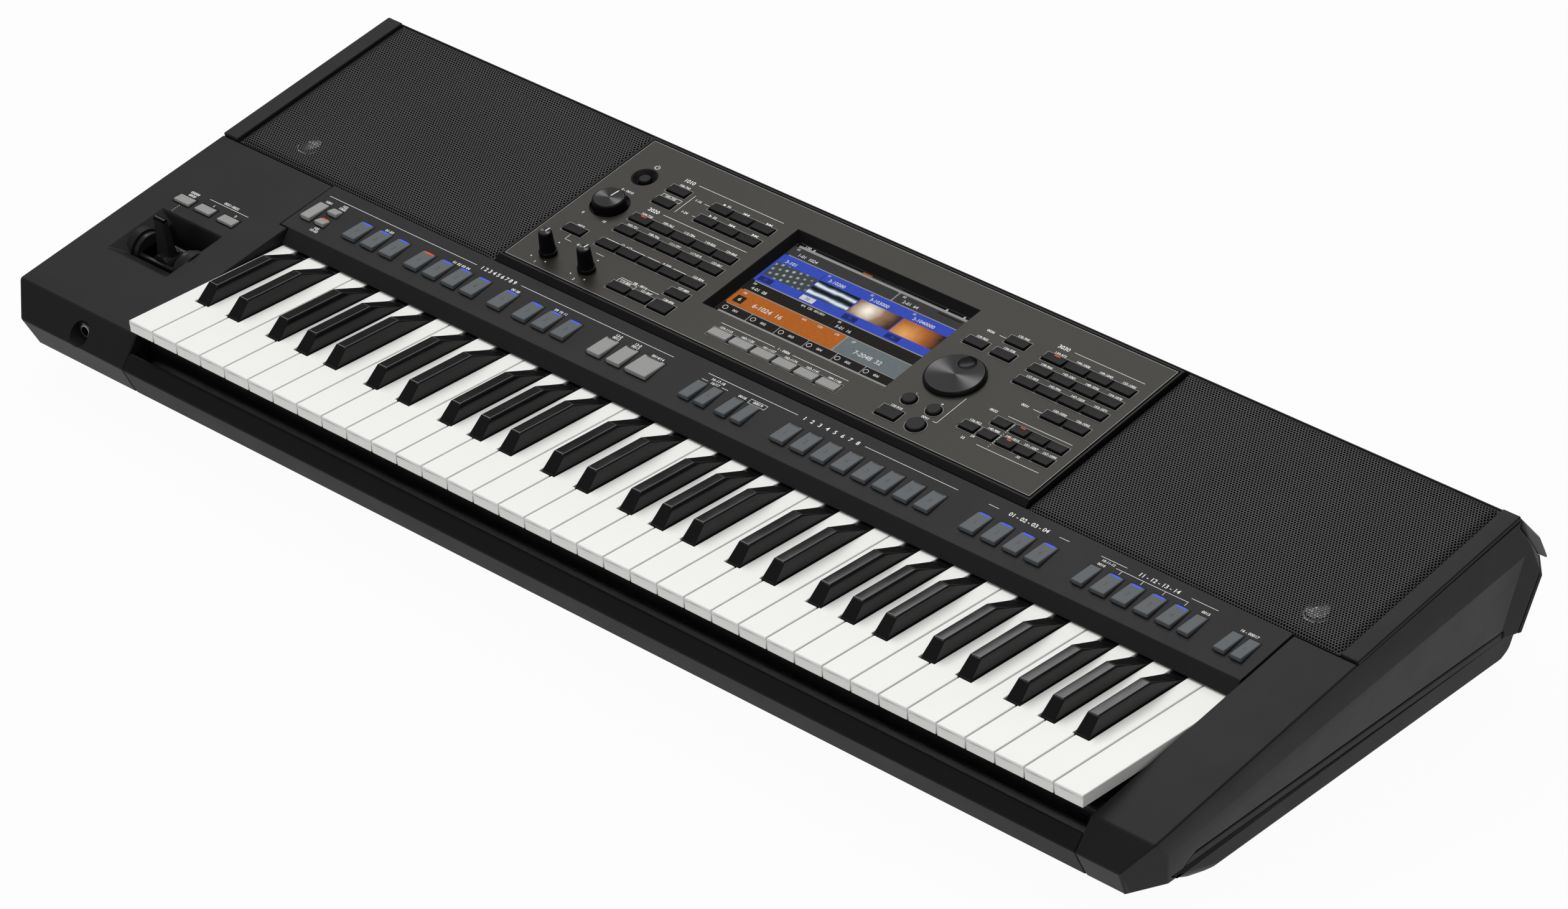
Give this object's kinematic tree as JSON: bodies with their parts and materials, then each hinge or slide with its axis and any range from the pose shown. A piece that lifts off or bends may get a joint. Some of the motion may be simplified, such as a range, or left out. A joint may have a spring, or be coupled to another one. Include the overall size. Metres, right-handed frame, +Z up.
{
  "type": "arranger keyboard",
  "caption": "Portable electronic arranger keyboard with piano-style keys, joystick, colour touch screen, button panel, strip pads, knobs and built-in stereo speakers.",
  "frame": {"origin": "on the floor plane under the feet, in the middle of the instrument's width and depth", "axes": "+X along the keyboard from the low notes to the high notes, +Y from the player towards the rear, +Z up"},
  "size_m": [1.0172, 0.431, 0.1397],
  "materials": {
    "case_charcoal": "satin, very finely grained",
    "case_lower": "satin",
    "frame_black": "semi-gloss",
    "panel_plate": "satin metallic",
    "grille_mesh": "satin, perforated",
    "inner_plastic": "matte",
    "screen_glass": "clear, smooth",
    "display": "smooth",
    "circuit_board": "matte",
    "pressed_steel": "plain",
    "cone_paper": "pulp",
    "dome_metal": "polished dome",
    "soft_rubber": "matte",
    "felt": "felt",
    "pad_grey": "satin",
    "pad_light": "satin",
    "button_black": "satin",
    "knob_black": "semi-gloss",
    "key_white": "smooth",
    "key_black": "glossy"
  },
  "bodies": {
    "case": {"lower_case": "case_lower", "left_cheek": "case_charcoal", "right_cheek": "case_charcoal", "front_rail": "case_lower", "control_strip": "case_charcoal", "speaker_baffle": "inner_plastic", "speaker_grille_left": "grille_mesh", "speaker_grille_right": "grille_mesh", "rear_caps": "case_charcoal", "rear_visor": "case_charcoal", "rear_panel": "case_charcoal", "panel_frame": "frame_black", "centre_panel": "panel_plate", "panel_bezels": "frame_black", "touch_screen": "screen_glass", "lcd_module": "display", "panel_boards": "circuit_board", "rotary_controls": "inner_plastic", "woofer_frames": "pressed_steel", "woofer_cones": "cone_paper", "tweeters": "dome_metal", "floor_boards": "circuit_board", "rubber_feet": "soft_rubber", "case_screws": "pressed_steel", "headphone_jack": "frame_black", "rear_jacks": "frame_black", "rear_ports": "frame_black", "key_frame": "pressed_steel", "pivot_rod": "pressed_steel", "contact_board": "circuit_board", "contact_rubber": "soft_rubber", "stop_felts": "felt"},
    "key_c": {"key_c": "key_white"},
    "key_c_sharp": {"key_c_sharp": "key_black"},
    "key_d": {"key_d": "key_white"},
    "key_d_sharp": {"key_d_sharp": "key_black"},
    "key_e": {"key_e": "key_white"},
    "key_f": {"key_f": "key_white"},
    "key_f_sharp": {"key_f_sharp": "key_black"},
    "key_g": {"key_g": "key_white"},
    "key_g_sharp": {"key_g_sharp": "key_black"},
    "key_a": {"key_a": "key_white"},
    "key_a_sharp": {"key_a_sharp": "key_black"},
    "key_b": {"key_b": "key_white"},
    "joystick_cradle": {"joystick_cradle": "inner_plastic"},
    "joystick_lever": {"joystick_lever": "button_black"},
    "volume_knob": {"volume_knob": "knob_black"},
    "live_knob_1": {"live_knob_1": "knob_black"},
    "live_knob_2": {"live_knob_2": "knob_black"},
    "data_dial": {"data_dial": "knob_black"},
    "power_button": {"power_button": "button_black"},
    "joystick_buttons": {"joystick_buttons": "pad_light"},
    "style_pads": {"style_pads": "pad_grey"},
    "transport_pads": {"transport_pads": "pad_light"},
    "registration_pads": {"registration_pads": "pad_grey"},
    "one_touch_pads": {"one_touch_pads": "pad_grey"},
    "multi_pads": {"multi_pads": "pad_grey"},
    "panel_buttons_left": {"panel_buttons_left": "button_black"},
    "panel_buttons_right": {"panel_buttons_right": "button_black"},
    "assign_buttons": {"assign_buttons": "pad_light"}
  },
  "joints": [
    {"name": "key_c_hinge", "type": "hinge", "parent": "case", "child": "key_c", "pos_m": [0, -0.003, 0.0804], "axis": [1, 0, 0], "range_deg": [0, 2.79], "stiffness_Nm_per_rad": 3, "springref_deg": -11.46},
    {"name": "key_c_sharp_hinge", "type": "hinge", "parent": "case", "child": "key_c_sharp", "pos_m": [0, -0.003, 0.0804], "axis": [1, 0, 0], "range_deg": [0, 2.79], "stiffness_Nm_per_rad": 3, "springref_deg": -11.46},
    {"name": "key_d_hinge", "type": "hinge", "parent": "case", "child": "key_d", "pos_m": [0, -0.003, 0.0804], "axis": [1, 0, 0], "range_deg": [0, 2.79], "stiffness_Nm_per_rad": 3, "springref_deg": -11.46},
    {"name": "key_d_sharp_hinge", "type": "hinge", "parent": "case", "child": "key_d_sharp", "pos_m": [0, -0.003, 0.0804], "axis": [1, 0, 0], "range_deg": [0, 2.79], "stiffness_Nm_per_rad": 3, "springref_deg": -11.46},
    {"name": "key_e_hinge", "type": "hinge", "parent": "case", "child": "key_e", "pos_m": [0, -0.003, 0.0804], "axis": [1, 0, 0], "range_deg": [0, 2.79], "stiffness_Nm_per_rad": 3, "springref_deg": -11.46},
    {"name": "key_f_hinge", "type": "hinge", "parent": "case", "child": "key_f", "pos_m": [0, -0.003, 0.0804], "axis": [1, 0, 0], "range_deg": [0, 2.79], "stiffness_Nm_per_rad": 3, "springref_deg": -11.46},
    {"name": "key_f_sharp_hinge", "type": "hinge", "parent": "case", "child": "key_f_sharp", "pos_m": [0, -0.003, 0.0804], "axis": [1, 0, 0], "range_deg": [0, 2.79], "stiffness_Nm_per_rad": 3, "springref_deg": -11.46},
    {"name": "key_g_hinge", "type": "hinge", "parent": "case", "child": "key_g", "pos_m": [0, -0.003, 0.0804], "axis": [1, 0, 0], "range_deg": [0, 2.79], "stiffness_Nm_per_rad": 3, "springref_deg": -11.46},
    {"name": "key_g_sharp_hinge", "type": "hinge", "parent": "case", "child": "key_g_sharp", "pos_m": [0, -0.003, 0.0804], "axis": [1, 0, 0], "range_deg": [0, 2.79], "stiffness_Nm_per_rad": 3, "springref_deg": -11.46},
    {"name": "key_a_hinge", "type": "hinge", "parent": "case", "child": "key_a", "pos_m": [0, -0.003, 0.0804], "axis": [1, 0, 0], "range_deg": [0, 2.79], "stiffness_Nm_per_rad": 3, "springref_deg": -11.46},
    {"name": "key_a_sharp_hinge", "type": "hinge", "parent": "case", "child": "key_a_sharp", "pos_m": [0, -0.003, 0.0804], "axis": [1, 0, 0], "range_deg": [0, 2.79], "stiffness_Nm_per_rad": 3, "springref_deg": -11.46},
    {"name": "key_b_hinge", "type": "hinge", "parent": "case", "child": "key_b", "pos_m": [0, -0.003, 0.0804], "axis": [1, 0, 0], "range_deg": [0, 2.79], "stiffness_Nm_per_rad": 3, "springref_deg": -11.46},
    {"name": "joystick_fore_aft", "type": "hinge", "parent": "case", "child": "joystick_cradle", "pos_m": [-0.44855, -0.11499, 0.07122], "axis": [1, 0, 0], "range_deg": [-20, 20], "stiffness_Nm_per_rad": 0.12},
    {"name": "joystick_left_right", "type": "hinge", "parent": "joystick_cradle", "child": "joystick_lever", "pos_m": [-0.44855, -0.11499, 0.07122], "axis": [0, 0.983, 0.1836], "range_deg": [-12, 12], "stiffness_Nm_per_rad": 0.12},
    {"name": "volume_knob_turn", "type": "hinge", "parent": "case", "child": "volume_knob", "pos_m": [-0.21149, 0.08594, 0.11435], "axis": [0, -0.1836, 0.983], "range_deg": [-150, 150]},
    {"name": "live_knob_1_turn", "type": "hinge", "parent": "case", "child": "live_knob_1", "pos_m": [-0.20899, 0.02185, 0.10237], "axis": [0, -0.1836, 0.983], "range_deg": [-150, 150]},
    {"name": "live_knob_2_turn", "type": "hinge", "parent": "case", "child": "live_knob_2", "pos_m": [-0.17342, 0.02273, 0.10254], "axis": [0, -0.1836, 0.983], "range_deg": [-150, 150]},
    {"name": "data_dial_turn", "type": "hinge", "parent": "case", "child": "data_dial", "pos_m": [0.11573, 0.07296, 0.11192], "axis": [0, -0.1836, 0.983], "continuous": true},
    {"name": "power_button_press", "type": "slide", "parent": "case", "child": "power_button", "axis": [0, 0.1836, -0.983], "range_m": [0, 0.0012], "stiffness_N_per_m": 600, "springref_m": -0.002},
    {"name": "joystick_buttons_press", "type": "slide", "parent": "case", "child": "joystick_buttons", "axis": [0, 0.1836, -0.983], "range_m": [0, 0.0012], "stiffness_N_per_m": 2500, "springref_m": -0.002},
    {"name": "style_pads_press", "type": "slide", "parent": "case", "child": "style_pads", "axis": [0, 0.1836, -0.983], "range_m": [0, 0.0012], "stiffness_N_per_m": 2500, "springref_m": -0.002},
    {"name": "transport_pads_press", "type": "slide", "parent": "case", "child": "transport_pads", "axis": [0, 0.1836, -0.983], "range_m": [0, 0.0012], "stiffness_N_per_m": 2500, "springref_m": -0.002},
    {"name": "registration_pads_press", "type": "slide", "parent": "case", "child": "registration_pads", "axis": [0, 0.1836, -0.983], "range_m": [0, 0.0012], "stiffness_N_per_m": 2500, "springref_m": -0.002},
    {"name": "one_touch_pads_press", "type": "slide", "parent": "case", "child": "one_touch_pads", "axis": [0, 0.1836, -0.983], "range_m": [0, 0.0012], "stiffness_N_per_m": 2500, "springref_m": -0.002},
    {"name": "multi_pads_press", "type": "slide", "parent": "case", "child": "multi_pads", "axis": [0, 0.1836, -0.983], "range_m": [0, 0.0012], "stiffness_N_per_m": 2500, "springref_m": -0.002},
    {"name": "panel_buttons_left_press", "type": "slide", "parent": "case", "child": "panel_buttons_left", "axis": [0, 0.1836, -0.983], "range_m": [0, 0.0012], "stiffness_N_per_m": 2500, "springref_m": -0.002},
    {"name": "panel_buttons_right_press", "type": "slide", "parent": "case", "child": "panel_buttons_right", "axis": [0, 0.1836, -0.983], "range_m": [0, 0.0012], "stiffness_N_per_m": 2500, "springref_m": -0.002},
    {"name": "assign_buttons_press", "type": "slide", "parent": "case", "child": "assign_buttons", "axis": [0, 0.1836, -0.983], "range_m": [0, 0.0012], "stiffness_N_per_m": 2500, "springref_m": -0.002}
  ]
}
